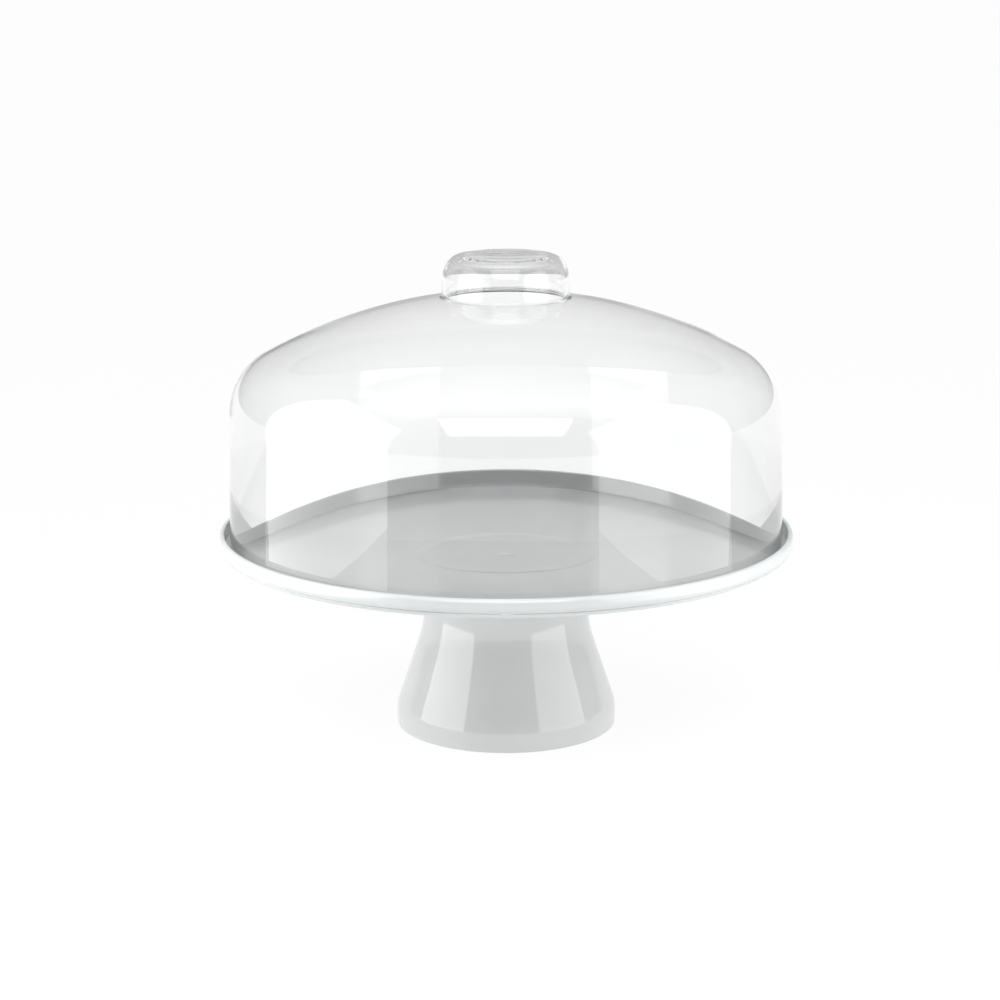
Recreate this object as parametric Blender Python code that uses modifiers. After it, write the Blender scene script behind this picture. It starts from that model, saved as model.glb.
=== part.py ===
"""Cake stand: a lipped plate on a hollow pedestal, under a clear lift-off dome with a hollow knob.

Metres, +Z up. The origin is the centre of the foot, on the surface that the stand rests on.
The plate twists off the pedestal about +Z, and the dome lifts off the plate along +Z.
Each outline below is a list of (radius, height) points in its own piece's frame.
"""
import math

import bmesh
import bpy
from mathutils import Matrix

MM = 0.001
GAP = 0.3 * MM                      # clearance between pieces that rest on each other
SEGMENTS = 64                       # facets round every turned piece

# Pedestal, measured from the surface it stands on
FOOT_RADIUS = 62.4 * MM
FOOT_ROUND = 25.0 * MM              # big round between the foot's upright edge and the taper
TAPER_ANGLE = math.radians(18.65)   # the cone's lean from upright
TAPER_FOOT_HEIGHT = 14.8 * MM       # where the foot's round meets the cone
TAPER_TOP_HEIGHT = 48.0 * MM        # where the cone meets the neck's hollow curve
NECK_RADIUS = 46.5 * MM
NECK_TOP = 103.3 * MM
PEDESTAL_WALL = 2.6 * MM

# Plate, measured from the top of the neck
PLATE_RADIUS = 161.0 * MM
PLATE_FLOOR = 3.5 * MM              # top of the floor
PLATE_UNDERSIDE = GAP
PLATE_CORNER = 6.6 * MM             # round under the rim
RIM_BOTTOM = -0.3 * MM
RIM_LAND = 5.0 * MM                 # flat width under the rim, inside its round
LIP_TOP = 10.6 * MM
LIP_WIDTH = 3.4 * MM
LIP_OUTER_ROUND = 2.6 * MM
LIP_INNER_ROUND = 0.8 * MM
LIP_FILLET = 1.2 * MM
SEAT_RADIUS = 45.1 * MM             # shallow round seat in the middle of the floor
SEAT_SLOPE = 6.6 * MM
SEAT_DEPTH = 0.4 * MM

# Twist lock between the plate's collar and the pedestal's neck
COLLAR_RADIUS = 39.0 * MM
COLLAR_WALL = 3.0 * MM
COLLAR_DEPTH = 11.8 * MM
LUG_COUNT = 3
LUG_REACH = 42.2 * MM
LUG_WIDTH = 14.0 * MM
LUG_HEIGHT = 4.0 * MM
FLANGE_BORE = 39.9 * MM
FLANGE_TOP = -0.5 * MM              # measured from the top of the neck
FLANGE_HEIGHT = 3.0 * MM
NOTCH_REACH = 42.9 * MM
NOTCH_WIDTH = 15.6 * MM
TWIST = math.radians(40.0)          # from locked to the lugs lying under their notches
STOP_ANGLE = math.radians(12.3)     # from the middle of a lug to the stop beside it
STOP_WIDTH = 2.5 * MM
STOP_BORE = 40.3 * MM
STOP_HEIGHT = 5.0 * MM

# Dome, measured from its bottom edge
DOME_RADIUS = 154.9 * MM            # outside, at the bottom edge
DOME_WALL_TOP_RADIUS = 153.1 * MM
DOME_WALL_HEIGHT = 73.1 * MM
DOME_SHOULDER = 36.0 * MM           # radius of the shoulder's round
DOME_CAP = 281.0 * MM               # radius of the shallow cap
DOME_THICKNESS = 2.3 * MM
DOME_EDGE = 0.6 * MM                # chamfer on the bottom edge

# Knob, moulded in one with the dome
KNOB_RADIUS = 35.2 * MM
KNOB_CREST = 24.4 * MM              # radius of the ring where the knob is highest
KNOB_TOP = 159.9 * MM
KNOB_CORNER_HEIGHT = 14.0 * MM      # the corner is a quarter ellipse from the crest to the wall
KNOB_FILLET = 1.5 * MM
KNOB_CEILING = 156.3 * MM
DISH_DEPTH = 1.0 * MM               # hollow in the top of the knob, inside the crest

COLLECTION = "cake_stand_dome"


def clear_scene():
    """Remove every object that is already in the file."""
    for old in list(bpy.data.objects):
        bpy.data.objects.remove(old, do_unlink=True)


def new_collection(name):
    """Add a collection to the scene."""
    collection = bpy.data.collections.new(name)
    bpy.context.scene.collection.children.link(collection)
    return collection


def material(name, colour, roughness, alpha=1.0):
    """Plain moulded plastic."""
    plastic = bpy.data.materials.new(name)
    plastic.use_nodes = True
    shader = plastic.node_tree.nodes["Principled BSDF"]
    shader.inputs["Base Color"].default_value = (*colour, 1.0)
    shader.inputs["Roughness"].default_value = roughness
    shader.inputs["Metallic"].default_value = 0.0
    shader.inputs["Alpha"].default_value = alpha
    return plastic


def arc(radius_centre, height_centre, size, start, end, steps):
    """Points along a round, by angle in degrees from outward (0) to up (90)."""
    points = []
    for step in range(steps + 1):
        angle = math.radians(start + (end - start) * step / steps)
        points.append((radius_centre + size * math.cos(angle), height_centre + size * math.sin(angle)))
    return points


def quarter_ellipse(radius_centre, height_centre, reach, rise, start, end, steps):
    """Points along a corner that reaches outward and rises by different amounts."""
    round_points = arc(0.0, 0.0, 1.0, start, end, steps)
    return [(radius_centre + reach * out, height_centre + rise * up) for out, up in round_points]


def turned(name, outline, collection, closed=False):
    """Turn an outline, listed down its outer side, about the object's Z axis."""
    shape = bmesh.new()
    points = [shape.verts.new((radius, 0.0, height)) for radius, height in outline]
    for first, second in zip(points, points[1:]):
        shape.edges.new((first, second))
    if closed:
        shape.edges.new((points[-1], points[0]))
    mesh = bpy.data.meshes.new(name)
    shape.to_mesh(mesh)
    shape.free()
    piece = bpy.data.objects.new(name, mesh)
    collection.objects.link(piece)
    screw = piece.modifiers.new("Turn", "SCREW")
    screw.axis = "Z"
    screw.steps = SEGMENTS
    screw.render_steps = SEGMENTS
    screw.use_merge_vertices = True
    screw.merge_threshold = 0.00001
    screw.use_smooth_shade = True
    return piece


def block(name, inner, outer, width, bottom, top, angle, collection):
    """A box that points outward from the Z axis at an angle, used to cut or to join."""
    shape = bmesh.new()
    bmesh.ops.create_cube(shape, size=1.0)
    size = Matrix.Diagonal((outer - inner, width, top - bottom, 1.0))
    place = Matrix.Translation(((inner + outer) / 2.0, 0.0, (bottom + top) / 2.0))
    bmesh.ops.transform(shape, matrix=Matrix.Rotation(angle, 4, "Z") @ place @ size, verts=shape.verts)
    mesh = bpy.data.meshes.new(name)
    shape.to_mesh(mesh)
    shape.free()
    tool = bpy.data.objects.new(name, mesh)
    collection.objects.link(tool)
    return hide_tool(tool)


def hide_tool(tool):
    """Show a cutting or joining shape as a wire guide only."""
    tool.hide_render = True
    tool.display_type = "WIRE"
    return tool


def combine(piece, tool, operation):
    """Cut a tool from a piece, or join it on."""
    change = piece.modifiers.new(tool.name, "BOOLEAN")
    change.operation = operation
    change.solver = "EXACT"
    change.object = tool
    tool.parent = piece


def pedestal_outline():
    """The outside of the pedestal: upright neck, hollow curve, cone, round and foot."""
    lean = math.degrees(TAPER_ANGLE)
    round_end_radius = FOOT_RADIUS - FOOT_ROUND * (1.0 - math.cos(TAPER_ANGLE))
    foot_round_height = TAPER_FOOT_HEIGHT - FOOT_ROUND * math.sin(TAPER_ANGLE)
    taper_height = TAPER_TOP_HEIGHT - TAPER_FOOT_HEIGHT
    taper_top_radius = round_end_radius - taper_height * math.tan(TAPER_ANGLE)
    neck_round = (taper_top_radius - NECK_RADIUS) / (1.0 - math.cos(TAPER_ANGLE))
    neck_round_height = TAPER_TOP_HEIGHT + neck_round * math.sin(TAPER_ANGLE)
    outline = [(NECK_RADIUS, NECK_TOP)]
    outline += arc(NECK_RADIUS + neck_round, neck_round_height, neck_round, 180.0, 180.0 + lean, 4)
    outline += arc(FOOT_RADIUS - FOOT_ROUND, foot_round_height, FOOT_ROUND, lean, 0.0, 3)
    outline += [(FOOT_RADIUS, 0.0)]
    return outline


def make_pedestal(parts, tools):
    """A hollow pedestal, open below, whose neck holds the notched flange of the twist lock."""
    pedestal = turned("pedestal", pedestal_outline(), parts)
    wall = pedestal.modifiers.new("Wall", "SOLIDIFY")
    wall.thickness = PEDESTAL_WALL
    wall.offset = -1.0
    wall.use_even_offset = True
    flange_top = NECK_TOP + FLANGE_TOP
    flange_bottom = flange_top - FLANGE_HEIGHT
    wall_middle = NECK_RADIUS - PEDESTAL_WALL / 2.0
    ring = [(FLANGE_BORE, flange_top), (wall_middle, flange_top),
            (wall_middle, flange_bottom), (FLANGE_BORE, flange_bottom)]
    combine(pedestal, hide_tool(turned("flange_ring", ring, tools, closed=True)), "UNION")
    for number in range(LUG_COUNT):
        locked = number * 2.0 * math.pi / LUG_COUNT
        for side, angle in (("locked", locked - STOP_ANGLE), ("open", locked + TWIST + STOP_ANGLE)):
            stop = block(f"stop_{side}_{number + 1}", STOP_BORE, wall_middle, STOP_WIDTH,
                         flange_bottom - STOP_HEIGHT, flange_bottom + FLANGE_HEIGHT / 2.0, angle, tools)
            combine(pedestal, stop, "UNION")
        notch = block(f"notch_{number + 1}", COLLAR_RADIUS - COLLAR_WALL, NOTCH_REACH, NOTCH_WIDTH,
                      flange_bottom - GAP, flange_top + GAP, locked + TWIST, tools)
        combine(pedestal, notch, "DIFFERENCE")
    pedestal.data.materials.append(material("grey_white_plastic", (0.80, 0.81, 0.81), 0.18))
    return pedestal


def plate_outline():
    """The plate in section: seat, floor, lip, rounded rim, underside and collar."""
    lip_inside = PLATE_RADIUS - LIP_WIDTH
    corner_middle = PLATE_RADIUS - PLATE_CORNER
    land_inside = corner_middle - RIM_LAND
    outline = [(0.0, PLATE_FLOOR - SEAT_DEPTH), (SEAT_RADIUS, PLATE_FLOOR - SEAT_DEPTH),
               (SEAT_RADIUS + SEAT_SLOPE, PLATE_FLOOR)]
    outline += arc(lip_inside - LIP_FILLET, PLATE_FLOOR + LIP_FILLET, LIP_FILLET, -90.0, 0.0, 2)
    outline += arc(lip_inside + LIP_INNER_ROUND, LIP_TOP - LIP_INNER_ROUND, LIP_INNER_ROUND, 180.0, 90.0, 2)
    outline += arc(PLATE_RADIUS - LIP_OUTER_ROUND, LIP_TOP - LIP_OUTER_ROUND,
                   LIP_OUTER_ROUND, 90.0, 0.0, 4)[1:]
    outline += arc(corner_middle, RIM_BOTTOM + PLATE_CORNER, PLATE_CORNER, 0.0, -90.0, 4)
    outline += [(land_inside, RIM_BOTTOM), (land_inside, PLATE_UNDERSIDE),
                (COLLAR_RADIUS, PLATE_UNDERSIDE), (COLLAR_RADIUS, -COLLAR_DEPTH),
                (COLLAR_RADIUS - COLLAR_WALL, -COLLAR_DEPTH),
                (COLLAR_RADIUS - COLLAR_WALL, PLATE_UNDERSIDE), (0.0, PLATE_UNDERSIDE)]
    return outline


def make_plate(parts, tools):
    """The round plate, with three lugs on the collar below it."""
    plate = turned("plate", plate_outline(), parts)
    lug_top = FLANGE_TOP - FLANGE_HEIGHT - GAP
    for number in range(LUG_COUNT):
        lug = block(f"lug_{number + 1}", COLLAR_RADIUS - COLLAR_WALL / 2.0, LUG_REACH, LUG_WIDTH,
                    lug_top - LUG_HEIGHT, lug_top, number * 2.0 * math.pi / LUG_COUNT, tools)
        combine(plate, lug, "UNION")
    plate.data.materials.append(material("grey_white_gloss", (0.82, 0.83, 0.83), 0.10))
    return plate


def cap_height(radius, cap_centre, cap_size):
    """Height of the dome's shallow cap at a radius."""
    return cap_centre + math.sqrt(cap_size ** 2 - radius ** 2)


def dome_outline():
    """The dome and its knob in section, down the outside and back up the inside."""
    shoulder_middle = DOME_WALL_TOP_RADIUS - DOME_SHOULDER
    cap_drop = math.sqrt((DOME_CAP - DOME_SHOULDER) ** 2 - shoulder_middle ** 2)
    cap_centre = DOME_WALL_HEIGHT - cap_drop
    tangent = math.degrees(math.atan2(cap_drop, shoulder_middle))
    inner_shoulder = DOME_SHOULDER - DOME_THICKNESS
    inner_cap = DOME_CAP - DOME_THICKNESS
    knob_inner = KNOB_RADIUS - DOME_THICKNESS
    knob_foot = KNOB_RADIUS + KNOB_FILLET
    foot_height = cap_height(knob_foot, cap_centre, DOME_CAP)
    foot_angle = math.degrees(math.acos(knob_foot / DOME_CAP))
    mouth_radius = knob_inner + KNOB_FILLET
    mouth_angle = math.degrees(math.acos(mouth_radius / inner_cap))
    mouth_height = cap_height(mouth_radius, cap_centre, inner_cap)
    dish_size = (KNOB_CREST ** 2 + DISH_DEPTH ** 2) / (2.0 * DISH_DEPTH)
    dish_centre = KNOB_TOP - DISH_DEPTH + dish_size
    dish_angle = math.degrees(math.asin(KNOB_CREST / dish_size))
    corner_height = KNOB_TOP - KNOB_CORNER_HEIGHT

    outline = arc(0.0, dish_centre, dish_size, 270.0, 270.0 + dish_angle, 3)
    outline += quarter_ellipse(KNOB_CREST, corner_height, KNOB_RADIUS - KNOB_CREST,
                               KNOB_CORNER_HEIGHT, 75.0, 0.0, 5)
    outline += arc(knob_foot, foot_height + KNOB_FILLET, KNOB_FILLET, 180.0, 270.0, 2)
    outline += arc(0.0, cap_centre, DOME_CAP, foot_angle, tangent, 6)[1:]
    outline += arc(shoulder_middle, DOME_WALL_HEIGHT, DOME_SHOULDER, tangent, 0.0, 6)[1:]
    outline += [(DOME_RADIUS, DOME_EDGE), (DOME_RADIUS - DOME_EDGE, 0.0),
                (DOME_RADIUS - DOME_THICKNESS + DOME_EDGE, 0.0),
                (DOME_RADIUS - DOME_THICKNESS, DOME_EDGE)]
    outline += arc(shoulder_middle, DOME_WALL_HEIGHT, inner_shoulder, 0.0, tangent, 6)
    outline += arc(0.0, cap_centre, inner_cap, tangent, mouth_angle, 6)[1:]
    outline += [(knob_inner, mouth_height + KNOB_FILLET)]
    outline += quarter_ellipse(KNOB_CREST, corner_height, knob_inner - KNOB_CREST,
                               KNOB_CEILING - corner_height, 0.0, 90.0, 5)
    outline += [(0.0, KNOB_CEILING)]
    return outline


def make_dome(parts):
    """The clear dome, one wall thick, with a hollow knob that opens into it."""
    dome = turned("dome", dome_outline(), parts)
    dome.data.materials.append(material("clear_plastic", (0.97, 0.97, 0.97), 0.03, alpha=0.12))
    return dome


def build():
    """Make the three pieces and stand them on each other."""
    clear_scene()
    parts = new_collection(COLLECTION)
    tools = new_collection("shaping_tools")
    pedestal = make_pedestal(parts, tools)
    plate = make_plate(parts, tools)
    dome = make_dome(parts)
    plate.parent = pedestal
    plate.location = (0.0, 0.0, NECK_TOP)
    dome.parent = plate
    dome.location = (0.0, 0.0, PLATE_FLOOR + GAP)


build()
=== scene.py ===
"""Looks for the cake stand: fine turned surfaces, clear and white plastic, and a white studio.

Each outline is a list of (radius, height) points in millimetres, in its own piece's frame, down
the outside of the piece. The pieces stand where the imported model's boxes say.
"""
import math

import bmesh
import bpy
from mathutils import Euler, Matrix, Vector


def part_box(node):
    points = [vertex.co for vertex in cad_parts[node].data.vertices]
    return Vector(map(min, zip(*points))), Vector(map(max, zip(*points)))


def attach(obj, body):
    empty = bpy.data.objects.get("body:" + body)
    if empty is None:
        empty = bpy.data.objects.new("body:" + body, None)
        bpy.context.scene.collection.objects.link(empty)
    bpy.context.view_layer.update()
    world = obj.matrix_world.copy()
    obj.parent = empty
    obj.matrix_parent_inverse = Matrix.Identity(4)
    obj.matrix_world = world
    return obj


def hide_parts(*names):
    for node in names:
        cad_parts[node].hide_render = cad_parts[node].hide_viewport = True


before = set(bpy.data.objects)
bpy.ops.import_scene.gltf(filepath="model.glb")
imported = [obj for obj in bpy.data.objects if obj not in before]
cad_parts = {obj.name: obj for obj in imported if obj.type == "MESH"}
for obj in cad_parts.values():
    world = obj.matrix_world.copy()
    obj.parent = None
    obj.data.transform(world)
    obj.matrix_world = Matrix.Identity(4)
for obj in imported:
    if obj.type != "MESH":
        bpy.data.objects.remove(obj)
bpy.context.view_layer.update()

MM = 0.001
SEGMENTS = 256
SHARP_ANGLE = math.radians(38.0)

SUPPORT = 1.0           # distance of an extra ring from a crease, so that flat stretches shade flat

# Where each piece stands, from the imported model
PLATE_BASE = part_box("pedestal")[1][2]        # top of the neck
DOME_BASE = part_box("dome")[0][2]             # the dome's bottom edge
PLATE_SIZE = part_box("plate")[1][0] / MM      # radius of the plate, in millimetres


# ---------------------------------------------------------------- shaping

def arc(radius_centre, height_centre, size, start, end, steps):
    """Points along a round, by angle in degrees from outward (0) to up (90)."""
    points = []
    for step in range(steps + 1):
        angle = math.radians(start + (end - start) * step / steps)
        points.append((radius_centre + size * math.cos(angle), height_centre + size * math.sin(angle)))
    return points


def quarter_ellipse(radius_centre, height_centre, reach, rise, start, end, steps):
    """Points along a corner that reaches outward and rises by different amounts."""
    round_points = arc(0.0, 0.0, 1.0, start, end, steps)
    return [(radius_centre + reach * out, height_centre + rise * up) for out, up in round_points]


def eased(first, second, steps):
    """Points down a soft step between two (radius, height) points, level at both ends."""
    points = []
    for step in range(steps + 1):
        share = step / steps
        height = first[1] + (second[1] - first[1]) * (1.0 - math.cos(math.pi * share)) / 2.0
        points.append((first[0] + (second[0] - first[0]) * share, height))
    return points


def turned(name, outline, base=0.0, closed=False):
    """Turn an outline in millimetres about the Z axis, standing at a height in metres."""
    shape = bmesh.new()
    points = [shape.verts.new((radius * MM, 0.0, height * MM + base)) for radius, height in outline]
    edges = [shape.edges.new(pair) for pair in zip(points, points[1:])]
    if closed:
        edges.append(shape.edges.new((points[-1], points[0])))
    bmesh.ops.spin(shape, geom=points + edges, cent=(0.0, 0.0, 0.0), axis=(0.0, 0.0, 1.0),
                   angle=2.0 * math.pi, steps=SEGMENTS, use_merge=True)
    bmesh.ops.remove_doubles(shape, verts=shape.verts, dist=0.001 * MM)
    bmesh.ops.recalc_face_normals(shape, faces=shape.faces)
    return shape_object(name, shape)


def block(name, inner, outer, width, bottom, top, angle, base):
    """A box that points outward from the Z axis at an angle in degrees."""
    shape = bmesh.new()
    bmesh.ops.create_cube(shape, size=1.0)
    size = Matrix.Diagonal(((outer - inner) * MM, width * MM, (top - bottom) * MM, 1.0))
    place = Matrix.Translation(((inner + outer) / 2.0 * MM, 0.0, (bottom + top) / 2.0 * MM + base))
    turn = Matrix.Rotation(math.radians(angle), 4, "Z")
    bmesh.ops.transform(shape, matrix=turn @ place @ size, verts=shape.verts)
    return shape_object(name, shape)


def shape_object(name, shape):
    """Make a shown object from a finished shape."""
    mesh = bpy.data.meshes.new(name)
    shape.to_mesh(mesh)
    shape.free()
    piece = bpy.data.objects.new(name, mesh)
    bpy.context.scene.collection.objects.link(piece)
    return piece


def combine(piece, tool, operation):
    """Cut a tool from a piece, or join it on, and remove the tool."""
    change = piece.modifiers.new("Combine", "BOOLEAN")
    change.operation = operation
    change.solver = "EXACT"
    change.object = tool
    evaluated = piece.evaluated_get(bpy.context.evaluated_depsgraph_get())
    combined = bpy.data.meshes.new_from_object(evaluated)
    piece.modifiers.clear()
    piece.data = combined
    bpy.data.objects.remove(tool, do_unlink=True)


def finish_piece(piece, node, plastic):
    """Shade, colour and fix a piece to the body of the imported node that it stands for."""
    piece.data.shade_smooth()
    piece.data.set_sharp_from_angle(angle=SHARP_ANGLE)
    piece.data.materials.clear()
    piece.data.materials.append(plastic)
    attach(piece, node)
    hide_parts(node)


# ---------------------------------------------------------------- materials

NOISE_LOW = 0.3         # the part of a noise's range that is spread over a roughness
NOISE_HIGH = 0.7
TINT_LOW = 0.35         # and over two colours
TINT_HIGH = 0.65
CLEAR_IOR = 1.45
WHITE_IOR = 1.49
WHITE_SHINE = 0.75
CLEAR_RIPPLE = 0.00012  # metres
WHITE_RIPPLE = 0.00004


def plastic_material(name):
    """A new material, its node tree and its shader."""
    material = bpy.data.materials.new(name)
    material.use_nodes = True
    tree = material.node_tree
    return material, tree, tree.nodes["Principled BSDF"]


def noise(tree, scale, detail=2.0):
    """Object-space noise, with its scale in cycles a metre."""
    place = tree.nodes.new("ShaderNodeTexCoord")
    texture = tree.nodes.new("ShaderNodeTexNoise")
    texture.inputs["Scale"].default_value = scale
    texture.inputs["Detail"].default_value = detail
    tree.links.new(place.outputs["Object"], texture.inputs["Vector"])
    return texture.outputs["Fac"]


def spread(tree, source, low, high):
    """Map a noise value on to a range."""
    mapped = tree.nodes.new("ShaderNodeMapRange")
    mapped.inputs["From Min"].default_value = NOISE_LOW
    mapped.inputs["From Max"].default_value = NOISE_HIGH
    mapped.inputs["To Min"].default_value = low
    mapped.inputs["To Max"].default_value = high
    tree.links.new(source, mapped.inputs["Value"])
    return mapped.outputs["Result"]


def tint(tree, source, first, second):
    """Mix two colours by a noise value."""
    ramp = tree.nodes.new("ShaderNodeValToRGB")
    ramp.color_ramp.elements[0].position = TINT_LOW
    ramp.color_ramp.elements[0].color = (*first, 1.0)
    ramp.color_ramp.elements[1].position = TINT_HIGH
    ramp.color_ramp.elements[1].color = (*second, 1.0)
    tree.links.new(source, ramp.inputs["Fac"])
    return ramp.outputs["Color"]


def ripple(tree, shader, source, height):
    """Shallow moulding ripple, with its height in metres."""
    bump = tree.nodes.new("ShaderNodeBump")
    bump.inputs["Strength"].default_value = 1.0
    bump.inputs["Distance"].default_value = height
    tree.links.new(source, bump.inputs["Height"])
    tree.links.new(bump.outputs["Normal"], shader.inputs["Normal"])


def clear_plastic():
    """Water-white moulded plastic: clear, glossy, very slightly rippled."""
    material, tree, shader = plastic_material("clear_plastic")
    shader.inputs["Transmission Weight"].default_value = 1.0
    shader.inputs["IOR"].default_value = CLEAR_IOR
    shader.inputs["Metallic"].default_value = 0.0
    tree.links.new(tint(tree, noise(tree, 9.0), (0.972, 0.976, 0.976), (0.988, 0.990, 0.990)),
                   shader.inputs["Base Color"])
    tree.links.new(spread(tree, noise(tree, 60.0), 0.0, 0.02), shader.inputs["Roughness"])
    ripple(tree, shader, noise(tree, 14.0, 1.0), CLEAR_RIPPLE)
    return material


def white_plastic(name, first, second, low, high):
    """Glossy pale grey-white moulded plastic with faint flow marks."""
    material, tree, shader = plastic_material(name)
    shader.inputs["Metallic"].default_value = 0.0
    shader.inputs["IOR"].default_value = WHITE_IOR
    shader.inputs["Specular IOR Level"].default_value = WHITE_SHINE
    tree.links.new(tint(tree, noise(tree, 22.0, 3.0), first, second), shader.inputs["Base Color"])
    tree.links.new(spread(tree, noise(tree, 90.0), low, high), shader.inputs["Roughness"])
    ripple(tree, shader, noise(tree, 30.0, 1.0), WHITE_RIPPLE)
    return material


# ---------------------------------------------------------------- dome

DOME_RADIUS = 154.9
WALL_TOP_RADIUS = 153.1
WALL_HEIGHT = 73.1
SHOULDER = 36.0
CAP = 281.0
WALL = 2.3
BOTTOM_ROUND = 0.9
KNOB_RADIUS = 35.2
KNOB_CREST = 24.4
CREST_ROUND = 1.0
KNOB_TOP = 159.9
KNOB_CORNER_HEIGHT = 14.0
KNOB_FILLET = 1.5
KNOB_CEILING = 156.3
DISH_DEPTH = 1.0


def on_cap(radius, centre, size):
    """Height of a shallow cap at a radius."""
    return centre + math.sqrt(size ** 2 - radius ** 2)


def dome_outline():
    """The dome and its knob in section, down the outside and back up the inside."""
    middle = WALL_TOP_RADIUS - SHOULDER
    drop = math.sqrt((CAP - SHOULDER) ** 2 - middle ** 2)
    centre = WALL_HEIGHT - drop
    tangent = math.degrees(math.atan2(drop, middle))
    knob_inner = KNOB_RADIUS - WALL
    foot = KNOB_RADIUS + KNOB_FILLET
    mouth = knob_inner + KNOB_FILLET
    inner_cap = CAP - WALL
    foot_angle = math.degrees(math.acos(foot / CAP))
    mouth_angle = math.degrees(math.acos(mouth / inner_cap))
    dish_size = (KNOB_CREST ** 2 + DISH_DEPTH ** 2) / (2.0 * DISH_DEPTH)
    dish_angle = math.degrees(math.asin(KNOB_CREST / dish_size))
    corner_height = KNOB_TOP - KNOB_CORNER_HEIGHT
    outline = arc(0.0, KNOB_TOP - DISH_DEPTH + dish_size, dish_size, 270.0, 270.0 + dish_angle, 12)
    outline[-1] = (KNOB_CREST - CREST_ROUND, (outline[-2][1] + KNOB_TOP) / 2.0)
    outline += quarter_ellipse(KNOB_CREST, corner_height, KNOB_RADIUS - KNOB_CREST,
                               KNOB_CORNER_HEIGHT, 90.0, 0.0, 32)
    outline += arc(foot, on_cap(foot, centre, CAP) + KNOB_FILLET, KNOB_FILLET, 180.0, 270.0, 6)
    outline += arc(0.0, centre, CAP, foot_angle, tangent, 24)[1:]
    outline += arc(middle, WALL_HEIGHT, SHOULDER, tangent, 0.0, 24)[1:]
    outline += arc(DOME_RADIUS - BOTTOM_ROUND, BOTTOM_ROUND, BOTTOM_ROUND, 0.0, -90.0, 4)
    outline += arc(DOME_RADIUS - WALL + BOTTOM_ROUND, BOTTOM_ROUND, BOTTOM_ROUND, -90.0, -180.0, 4)
    outline += arc(middle, WALL_HEIGHT, SHOULDER - WALL, 0.0, tangent, 24)
    outline += arc(0.0, centre, inner_cap, tangent, mouth_angle, 24)[1:]
    outline += arc(mouth, on_cap(mouth, centre, inner_cap) + KNOB_FILLET, KNOB_FILLET, 270.0, 180.0, 6)[1:]
    outline += quarter_ellipse(KNOB_CREST, corner_height, knob_inner - KNOB_CREST,
                               KNOB_CEILING - corner_height, 0.0, 90.0, 32)
    outline += [(0.0, KNOB_CEILING)]
    return outline


def make_dome():
    """The clear dome with its hollow knob."""
    dome = turned("dome_shell", dome_outline(), DOME_BASE)
    finish_piece(dome, "dome", clear_plastic())


# ---------------------------------------------------------------- plate

FLOOR = 3.5
UNDERSIDE = 0.3
RIM_CORNER = 6.6
GROOVE_DEPTH = 0.5      # a fine line round the rim, where the mould halves met
GROOVE_ANGLE = 30.0
GROOVE_SPREAD = 3.5
GATE_NUB = (3.3, 0.7, 0.55)     # half sizes
RIM_BOTTOM = -0.3
RIM_LAND = 5.0
LIP_TOP = 10.6
LIP_WIDTH = 3.4
LIP_OUTER_ROUND = 2.6
LIP_INNER_ROUND = 0.8
LIP_FILLET = 1.2
SEAT_RADIUS = 45.1
SEAT_SLOPE = 6.6
SEAT_DEPTH = 0.4
GATE_RADIUS = 1.2
GATE_EDGE = 2.0
GATE_DEPTH = 0.3
COLLAR_RADIUS = 39.0
COLLAR_WALL = 3.0
COLLAR_DEPTH = 11.8
LUG_COUNT = 3
LUG_REACH = 42.2
LUG_WIDTH = 14.0
LUG_HEIGHT = 4.0
LUG_TOP = -3.8


def plate_outline():
    """The plate in section: seat, floor, lip, rounded rim, underside and collar."""
    lip_inside = PLATE_SIZE - LIP_WIDTH
    corner_middle = PLATE_SIZE - RIM_CORNER
    land_inside = corner_middle - RIM_LAND
    seat = FLOOR - SEAT_DEPTH
    outline = [(0.0, seat - GATE_DEPTH)]
    outline += eased((GATE_RADIUS, seat - GATE_DEPTH), (GATE_RADIUS + GATE_EDGE, seat), 6)
    outline += [(SEAT_RADIUS - SUPPORT, seat)]
    outline += eased((SEAT_RADIUS, seat), (SEAT_RADIUS + SEAT_SLOPE, FLOOR), 16)
    outline += [(SEAT_RADIUS + SEAT_SLOPE + SUPPORT, FLOOR), (lip_inside - LIP_FILLET - SUPPORT, FLOOR)]
    outline += arc(lip_inside - LIP_FILLET, FLOOR + LIP_FILLET, LIP_FILLET, -90.0, 0.0, 6)
    outline += arc(lip_inside + LIP_INNER_ROUND, LIP_TOP - LIP_INNER_ROUND, LIP_INNER_ROUND, 180.0, 90.0, 8)
    outline += arc(PLATE_SIZE - LIP_OUTER_ROUND, LIP_TOP - LIP_OUTER_ROUND,
                   LIP_OUTER_ROUND, 90.0, 0.0, 14)[1:]
    corner_height = RIM_BOTTOM + RIM_CORNER
    outline += arc(corner_middle, corner_height, RIM_CORNER, 0.0, GROOVE_SPREAD - GROOVE_ANGLE, 6)
    outline += arc(corner_middle, corner_height, RIM_CORNER - GROOVE_DEPTH,
                   GROOVE_SPREAD / 3.0 - GROOVE_ANGLE, -GROOVE_SPREAD / 3.0 - GROOVE_ANGLE, 1)
    outline += arc(corner_middle, corner_height, RIM_CORNER, -GROOVE_SPREAD - GROOVE_ANGLE, -90.0, 10)
    outline += [(land_inside, RIM_BOTTOM), (land_inside, UNDERSIDE), (COLLAR_RADIUS, UNDERSIDE),
                (COLLAR_RADIUS, -COLLAR_DEPTH), (COLLAR_RADIUS - COLLAR_WALL, -COLLAR_DEPTH),
                (COLLAR_RADIUS - COLLAR_WALL, UNDERSIDE), (0.0, UNDERSIDE)]
    return outline


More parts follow.
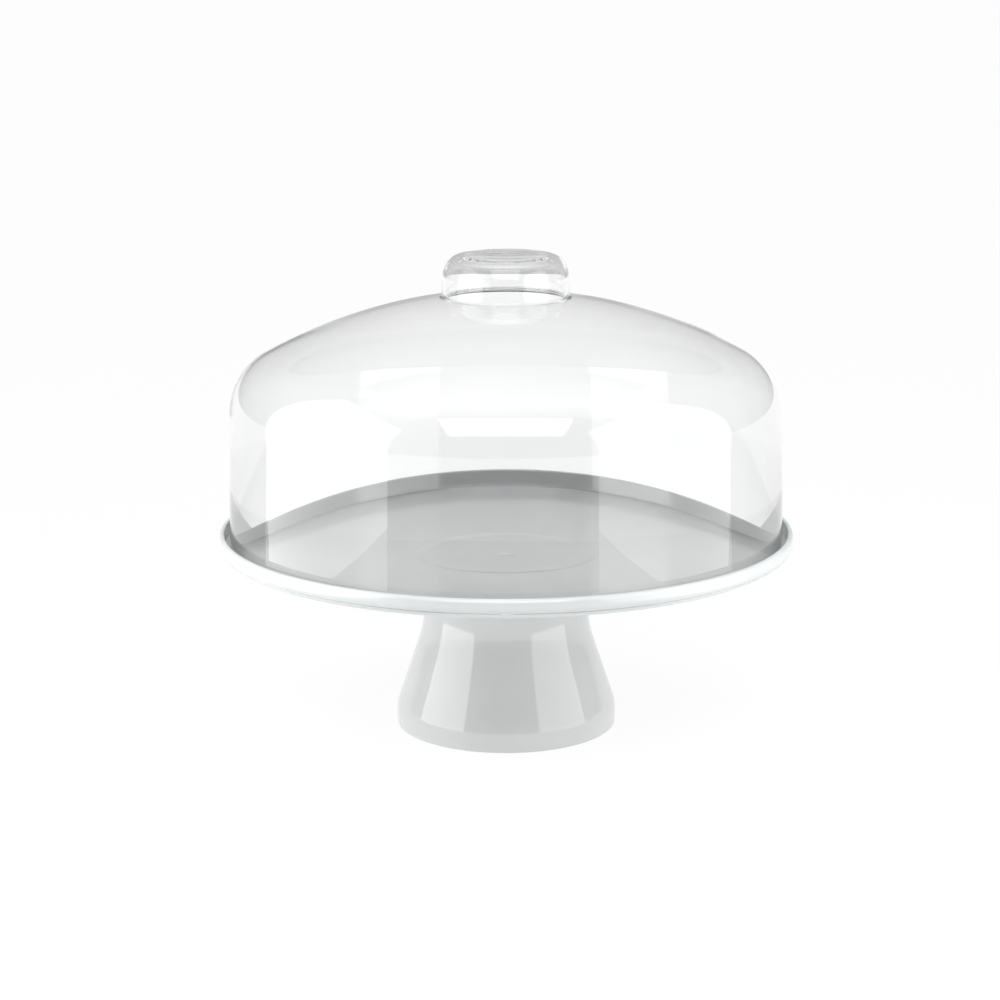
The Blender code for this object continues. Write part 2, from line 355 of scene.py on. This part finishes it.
def gate_nub():
    """A small flat mark on the front of the rim, left by the mould's gate."""
    shape = bmesh.new()
    bmesh.ops.create_uvsphere(shape, u_segments=48, v_segments=24, radius=MM)
    angle = math.radians(GROOVE_ANGLE)
    out = PLATE_SIZE - RIM_CORNER + RIM_CORNER * math.cos(angle)
    up = RIM_BOTTOM + RIM_CORNER - RIM_CORNER * math.sin(angle)
    place = Matrix.Translation((0.0, -out * MM, PLATE_BASE + up * MM))
    bmesh.ops.transform(shape, matrix=place @ Matrix.Diagonal((*GATE_NUB, 1.0)), verts=shape.verts)
    return shape_object("gate_nub", shape)


def make_plate():
    """The round plate, with the lugs of the twist lock on its collar."""
    plate = turned("plate_body", plate_outline(), PLATE_BASE)
    for number in range(LUG_COUNT):
        lug = block("lug", COLLAR_RADIUS - COLLAR_WALL / 2.0, LUG_REACH, LUG_WIDTH,
                    LUG_TOP - LUG_HEIGHT, LUG_TOP, 360.0 * number / LUG_COUNT, PLATE_BASE)
        combine(plate, lug, "UNION")
    combine(plate, gate_nub(), "UNION")
    gloss = white_plastic("plate_gloss", (0.60, 0.62, 0.62), (0.63, 0.65, 0.65), 0.07, 0.12)
    finish_piece(plate, "plate", gloss)


# ---------------------------------------------------------------- pedestal

FOOT_RADIUS = 62.4
FOOT_EDGE = 1.0
FOOT_ROUND = 25.0
LEAN = 18.65
CONE_FOOT = 14.8
CONE_TOP = 48.0
NECK_RADIUS = 46.5
NECK_TOP = 103.3
WALL_PEDESTAL = 2.6
FLANGE_BORE = 39.9
FLANGE_TOP = 102.8
FLANGE_BOTTOM = 99.8
NOTCH_REACH = 42.9
NOTCH_WIDTH = 15.6
TWIST = 40.0
STOP_ANGLE = 12.3
STOP_WIDTH = 2.5
STOP_BORE = 40.3
STOP_HEIGHT = 5.0
STOP_OVERLAP = 1.5      # how far a stop reaches up into the flange
NOTCH_PAST = 0.3        # how far a notch's cutter runs past both faces of the flange


def pedestal_outline():
    """The pedestal in section, down the outside and back up the inside."""
    lean = math.radians(LEAN)
    cone_foot_radius = FOOT_RADIUS - FOOT_ROUND * (1.0 - math.cos(lean))
    round_height = CONE_FOOT - FOOT_ROUND * math.sin(lean)
    cone_top_radius = cone_foot_radius - (CONE_TOP - CONE_FOOT) * math.tan(lean)
    neck_round = (cone_top_radius - NECK_RADIUS) / (1.0 - math.cos(lean))
    neck_height = CONE_TOP + neck_round * math.sin(lean)
    middle = NECK_RADIUS + neck_round
    outline = [(NECK_RADIUS, NECK_TOP)]
    outline += arc(middle, neck_height, neck_round, 180.0, 180.0 + LEAN, 16)
    outline += arc(FOOT_RADIUS - FOOT_ROUND, round_height, FOOT_ROUND, LEAN, 0.0, 12)
    outline += arc(FOOT_RADIUS - FOOT_EDGE, FOOT_EDGE, FOOT_EDGE, 0.0, -90.0, 5)
    outline += [(FOOT_RADIUS - WALL_PEDESTAL, 0.0)]
    outline += arc(FOOT_RADIUS - FOOT_ROUND, round_height, FOOT_ROUND - WALL_PEDESTAL, 0.0, LEAN, 12)
    outline += arc(middle, neck_height, neck_round + WALL_PEDESTAL, 180.0 + LEAN, 180.0, 16)
    outline += [(NECK_RADIUS - WALL_PEDESTAL, FLANGE_BOTTOM), (FLANGE_BORE, FLANGE_BOTTOM),
                (FLANGE_BORE, FLANGE_TOP), (NECK_RADIUS - WALL_PEDESTAL, FLANGE_TOP),
                (NECK_RADIUS - WALL_PEDESTAL, NECK_TOP)]
    return outline


def make_pedestal():
    """The hollow pedestal, with notches and stops for the plate's lugs."""
    pedestal = turned("pedestal_shell", pedestal_outline(), closed=True)
    wall_middle = NECK_RADIUS - WALL_PEDESTAL / 2.0
    for number in range(LUG_COUNT):
        locked = 360.0 * number / LUG_COUNT
        for angle in (locked - STOP_ANGLE, locked + TWIST + STOP_ANGLE):
            stop = block("stop", STOP_BORE, wall_middle, STOP_WIDTH, FLANGE_BOTTOM - STOP_HEIGHT,
                         FLANGE_BOTTOM + STOP_OVERLAP, angle, 0.0)
            combine(pedestal, stop, "UNION")
        notch = block("notch", COLLAR_RADIUS - COLLAR_WALL, NOTCH_REACH, NOTCH_WIDTH,
                      FLANGE_BOTTOM - NOTCH_PAST, FLANGE_TOP + NOTCH_PAST, locked + TWIST, 0.0)
        combine(pedestal, notch, "DIFFERENCE")
    gloss = white_plastic("pedestal_gloss", (0.62, 0.63, 0.63), (0.65, 0.66, 0.66), 0.04, 0.08)
    finish_piece(pedestal, "pedestal", gloss)


# ---------------------------------------------------------------- studio

CAMERA_DISTANCE = 1.287
CAMERA_HEIGHT = 0.4198
CAMERA_LENS = 84.5
SENSOR_WIDTH = 36.0
CAMERA_DOWN = 12.753
CAMERA_ROLL = -0.113
CAMERA_TURN = 0.150
LIGHT_BOUNCES = 24      # enough for light to leave the thick corners of the knob
FLOOR_HALF_WIDTH = 60.0
FLOOR_GLOW = 0.89
FLOOR_GREY = 0.12
FLOOR_ROUGHNESS = 0.9
FRONT_TURN = (-0.9, 0.1)   # the world brightens between these, from the front (-1) to the back (1)
SKY_STEPS = ((0.0, 0.5), (0.4, 0.6), (0.8, 0.8), (1.0, 2.0))   # brightness by sine of elevation
SOFTBOX_TOP = 0.58
FRONT_SHARE = 0.1      # how bright the side behind the camera is
SOFTBOX_LEFT = 2.3
SOFTBOX_RIGHT = 1.7
TOP_LIGHT = 3.6         # each light's value is its radiance
TOP_LIGHT_PLACE = (0.0, -0.80, 1.05)
TOP_LIGHT_SIZE = (0.9, 0.6)


def make_camera():
    """The camera stands in front and looks slightly down."""
    data = bpy.data.cameras.new("camera")
    data.lens = CAMERA_LENS
    data.sensor_width = SENSOR_WIDTH
    camera = bpy.data.objects.new("camera", data)
    bpy.context.scene.collection.objects.link(camera)
    camera.location = (0.0, -CAMERA_DISTANCE, CAMERA_HEIGHT)
    look = Euler((math.radians(90.0 - CAMERA_DOWN), 0.0, math.radians(CAMERA_TURN)), "XYZ").to_matrix()
    roll = Matrix.Rotation(math.radians(CAMERA_ROLL), 3, "Z")
    camera.rotation_euler = (look @ roll).to_euler()
    bpy.context.scene.camera = camera


def softbox(name, first, second, bottom, top, radiance):
    """An upright rectangular light between two plan points, facing the object."""
    first = Vector(first)
    second = Vector(second)
    width = (second - first).length
    height = top - bottom
    data = bpy.data.lights.new(name, "AREA")
    data.shape = "RECTANGLE"
    data.size = width
    data.size_y = height
    data.energy = radiance * math.pi * width * height
    light = bpy.data.objects.new(name, data)
    bpy.context.scene.collection.objects.link(light)
    centre = (first + second) / 2.0
    light.location = (centre.x, centre.y, (bottom + top) / 2.0)
    along = (second - first).normalized()
    facing = Vector((-along.y, along.x))
    if facing.dot(centre) > 0.0:
        facing = -facing
    back = Vector((-facing.x, -facing.y, 0.0))
    up = Vector((0.0, 0.0, 1.0))
    right = up.cross(back)
    light.rotation_euler = Matrix((right, up, back)).transposed().to_euler()


def top_light():
    """A broad light above the camera, aimed at the plate."""
    data = bpy.data.lights.new("top_light", "AREA")
    data.shape = "RECTANGLE"
    data.size, data.size_y = TOP_LIGHT_SIZE
    data.energy = TOP_LIGHT * math.pi * data.size * data.size_y
    light = bpy.data.objects.new("top_light", data)
    bpy.context.scene.collection.objects.link(light)
    light.location = TOP_LIGHT_PLACE
    aim = Vector((0.0, 0.0, PLATE_BASE)) - light.location
    light.rotation_euler = aim.to_track_quat("-Z", "Y").to_euler()


def make_floor():
    """A plain pale floor, so large that it meets the horizon."""
    shape = bmesh.new()
    bmesh.ops.create_grid(shape, x_segments=1, y_segments=1, size=FLOOR_HALF_WIDTH)
    floor = shape_object("floor", shape)
    paper, _, shader = plastic_material("floor_paper")
    shader.inputs["Base Color"].default_value = (FLOOR_GREY, FLOOR_GREY, FLOOR_GREY, 1.0)
    shader.inputs["Roughness"].default_value = FLOOR_ROUGHNESS
    shader.inputs["Specular IOR Level"].default_value = 0.0
    shader.inputs["Emission Color"].default_value = (1.0, 1.0, 1.0, 1.0)
    shader.inputs["Emission Strength"].default_value = FLOOR_GLOW
    floor.data.materials.append(paper)


def make_world():
    """Brighter overhead than at the horizon and dim in front, with plain white behind everything."""
    world = bpy.data.worlds.new("studio")
    world.use_nodes = True
    bpy.context.scene.world = world
    tree = world.node_tree
    place = tree.nodes.new("ShaderNodeTexCoord")
    split = tree.nodes.new("ShaderNodeSeparateXYZ")
    ramp = tree.nodes.new("ShaderNodeValToRGB")
    front = tree.nodes.new("ShaderNodeMapRange")
    front.inputs["From Min"].default_value = FRONT_TURN[0]
    front.inputs["From Max"].default_value = FRONT_TURN[1]
    front.inputs["To Min"].default_value = FRONT_SHARE
    front.inputs["To Max"].default_value = 1.0
    tree.links.new(split.outputs["Y"], front.inputs["Value"])
    tree.links.new(place.outputs["Generated"], split.inputs["Vector"])
    tree.links.new(split.outputs["Z"], ramp.inputs["Fac"])
    ramp.color_ramp.elements.remove(ramp.color_ramp.elements[0])
    for number, (height, value) in enumerate(SKY_STEPS):
        if number == 0:
            step = ramp.color_ramp.elements[0]
            step.position = height
        else:
            step = ramp.color_ramp.elements.new(height)
        step.color = (value, value, value, 1.0)
    path = tree.nodes.new("ShaderNodeLightPath")
    shown = tree.nodes.new("ShaderNodeMix")
    shown.data_type = "RGBA"
    tree.links.new(path.outputs["Is Camera Ray"], shown.inputs["Factor"])
    tree.links.new(ramp.outputs["Color"], shown.inputs["A"])
    shown.inputs["B"].default_value = (1.0, 1.0, 1.0, 1.0)
    background = tree.nodes["Background"]
    tree.links.new(shown.outputs["Result"], background.inputs["Color"])
    strength = tree.nodes.new("ShaderNodeMath")
    strength.operation = "MAXIMUM"
    tree.links.new(front.outputs["Result"], strength.inputs[0])
    tree.links.new(path.outputs["Is Camera Ray"], strength.inputs[1])
    tree.links.new(strength.outputs["Value"], background.inputs["Strength"])


def make_studio():
    """Camera, floor, surroundings, two tall softboxes and a light above the camera."""
    make_camera()
    make_floor()
    make_world()
    softbox("softbox_left", (-0.344, 0.012), (-0.436, -0.477), 0.0, SOFTBOX_TOP, SOFTBOX_LEFT)
    softbox("softbox_right", (0.341, -0.045), (0.351, -0.543), 0.0, SOFTBOX_TOP, SOFTBOX_RIGHT)
    top_light()
    scene = bpy.context.scene
    scene.view_settings.view_transform = "Standard"
    scene.cycles.max_bounces = LIGHT_BOUNCES
    scene.cycles.glossy_bounces = LIGHT_BOUNCES
    scene.cycles.transmission_bounces = LIGHT_BOUNCES


make_pedestal()
make_plate()
make_dome()
make_studio()
